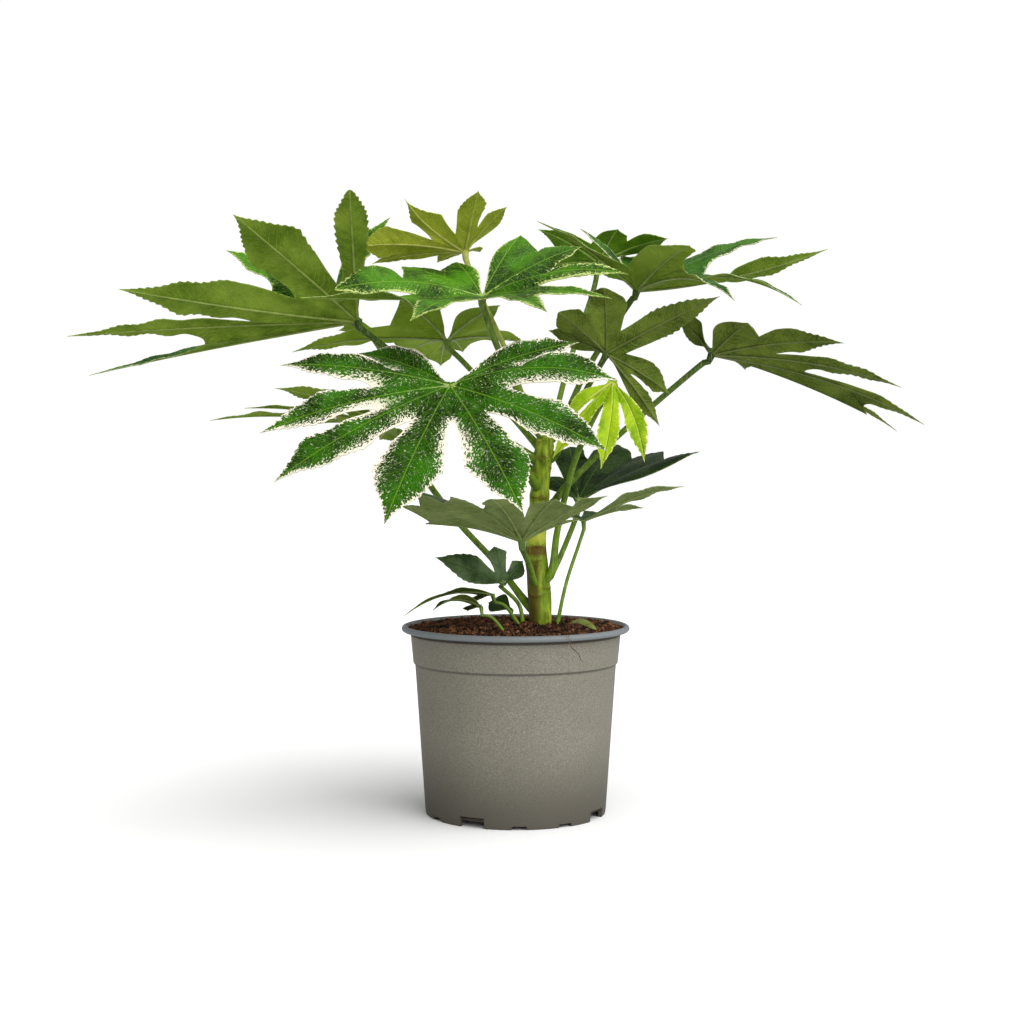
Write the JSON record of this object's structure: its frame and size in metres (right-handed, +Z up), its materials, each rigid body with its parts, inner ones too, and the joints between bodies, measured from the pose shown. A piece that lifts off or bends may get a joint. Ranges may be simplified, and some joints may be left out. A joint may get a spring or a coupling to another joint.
{
  "type": "potted fatsia",
  "caption": "Bushy potted fatsia with broad fingered leaves on long stalks, some cream-edged, in a round grey nursery pot.",
  "frame": {"origin": "middle of the pot's foot, on the ground", "axes": "+Z up the plant, -Y towards the side the picture shows, +X to its right, along the widest spread"},
  "size_m": [0.7043, 0.4405, 0.5114],
  "materials": {
    "pot": "matte grey-brown plastic with fine pale speckle",
    "soil": "rough dark potting soil with reddish fibres",
    "trunk": "yellow-green bark with brown leaf scars",
    "stalk": "smooth green stalk",
    "leaf_variegated": "glossy deep green with speckled cream edges",
    "leaf_bright": "glossy bright green",
    "leaf_olive": "satin olive green",
    "leaf_young": "satin yellow-green",
    "leaf_dark": "satin dark green, greyer below"
  },
  "bodies": {
    "root": {"pot": "pot", "soil": "soil", "trunk": "trunk", "front_variegated_blade": "leaf_variegated", "front_variegated_stalk": "stalk", "upper_middle_blade": "leaf_bright", "upper_middle_stalk": "stalk", "big_left_blade": "leaf_olive", "big_left_stalk": "stalk", "rear_left_blade": "leaf_bright", "rear_left_stalk": "stalk", "young_top_blade": "leaf_young", "young_top_stalk": "stalk", "left_rear_blade": "leaf_olive", "left_rear_stalk": "stalk", "low_left_rear_blade": "leaf_olive", "low_left_rear_stalk": "stalk", "far_right_blade": "leaf_olive", "far_right_stalk": "stalk", "right_middle_blade": "leaf_olive", "right_middle_stalk": "stalk", "young_drooping_blade": "leaf_young", "young_drooping_stalk": "stalk", "upper_right_blade": "leaf_olive", "upper_right_stalk": "stalk", "upper_rear_blade": "leaf_bright", "upper_rear_stalk": "stalk", "right_rear_low_blade": "leaf_dark", "right_rear_low_stalk": "stalk", "low_front_blade": "leaf_dark", "low_front_stalk": "stalk", "low_right_blade": "leaf_dark", "low_right_stalk": "stalk", "small_low_blade": "leaf_dark", "small_low_stalk": "stalk", "soil_long_blade": "leaf_dark", "soil_long_stalk": "stalk", "soil_left_blade": "leaf_dark", "soil_left_stalk": "stalk", "soil_small_blade": "leaf_dark", "soil_small_stalk": "stalk"}
  },
  "joints": []
}
